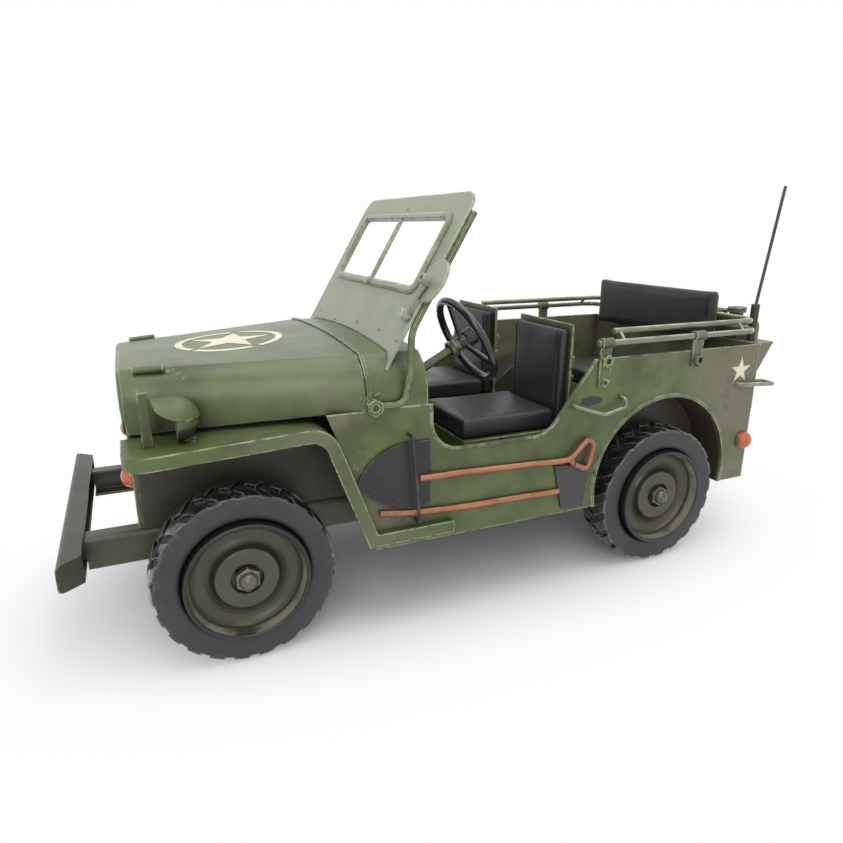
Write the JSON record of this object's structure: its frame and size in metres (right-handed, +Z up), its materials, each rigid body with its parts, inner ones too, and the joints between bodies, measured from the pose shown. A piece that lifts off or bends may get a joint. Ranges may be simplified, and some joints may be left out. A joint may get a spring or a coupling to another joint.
{
  "type": "sheet-metal model army car",
  "caption": "Open-topped hand-made sheet-metal desk model of an army four-wheel-drive car with a fixed windscreen, seats, tools, load rails, spare wheel and free-rolling wheels.",
  "frame": {"origin": "on the ground under the middle of the model's bounding box", "axes": "+Z up, -Y towards the front of the model, +X towards the driver's side (the model's left)"},
  "size_m": [0.1338, 0.324, 0.1706],
  "materials": {
    "olive_paint": "satin, worn edges",
    "pale_paint": "satin",
    "brown_paint": "satin, stained",
    "dark_paint": "satin",
    "black_paint": "gloss",
    "tyre": "matte walls",
    "seat_leather": "satin",
    "handle_paint": "satin",
    "amber_lamp": "gloss"
  },
  "bodies": {
    "chassis": {"frame_rails": "brown_paint", "front_bumper": "dark_paint", "front_axle": "brown_paint", "rear_axle": "brown_paint", "wheel_nuts": "brown_paint", "floor_pan": "olive_paint", "firewall": "brown_paint", "side_left": "olive_paint", "side_right": "olive_paint", "rear_panel": "olive_paint", "wheel_houses": "brown_paint", "cowl": "olive_paint", "dashboard": "olive_paint", "hood": "olive_paint", "hood_rests": "olive_paint", "grille": "olive_paint", "headlamps": "pale_paint", "marker_lamps": "amber_lamp", "engine_aprons": "brown_paint", "fender_left": "olive_paint", "fender_right": "olive_paint", "fender_lamp": "olive_paint", "lamp_guard": "olive_paint", "windscreen": "pale_paint", "window_frame": "pale_paint", "screen_stays": "olive_paint", "mirror": "pale_paint", "steering_column": "olive_paint", "steering_wheel": "black_paint", "front_seat_frames": "olive_paint", "front_cushions": "seat_leather", "front_backrests": "seat_leather", "rear_seat_frame": "olive_paint", "rear_cushion": "seat_leather", "rear_backrest": "seat_leather", "load_rails": "pale_paint", "rail_brackets": "olive_paint", "grab_handles": "olive_paint", "tool_heads": "dark_paint", "tool_handles": "handle_paint", "tool_strap": "dark_paint", "tail_lamp_cups": "olive_paint", "tail_lamp_lenses": "amber_lamp", "corner_brackets": "olive_paint", "antenna": "dark_paint", "spare_carrier": "olive_paint", "spare_rim": "brown_paint", "spare_tyre": "tyre", "fuel_can": "olive_paint", "can_rack": "olive_paint"},
    "wheel_front_left": {"rim_front_left": "brown_paint", "tyre_front_left": "tyre"},
    "wheel_front_right": {"rim_front_right": "brown_paint", "tyre_front_right": "tyre"},
    "wheel_rear_left": {"rim_rear_left": "brown_paint", "tyre_rear_left": "tyre"},
    "wheel_rear_right": {"rim_rear_right": "brown_paint", "tyre_rear_right": "tyre"}
  },
  "joints": [
    {"name": "front_left_spin", "type": "hinge", "parent": "chassis", "child": "wheel_front_left", "pos_m": [0.053, -0.10355, 0.0325], "axis": [1, 0, 0], "continuous": true},
    {"name": "front_right_spin", "type": "hinge", "parent": "chassis", "child": "wheel_front_right", "pos_m": [-0.053, -0.10355, 0.0325], "axis": [1, 0, 0], "continuous": true},
    {"name": "rear_left_spin", "type": "hinge", "parent": "chassis", "child": "wheel_rear_left", "pos_m": [0.053, 0.08445, 0.0325], "axis": [1, 0, 0], "continuous": true},
    {"name": "rear_right_spin", "type": "hinge", "parent": "chassis", "child": "wheel_rear_right", "pos_m": [-0.053, 0.08445, 0.0325], "axis": [1, 0, 0], "continuous": true}
  ]
}
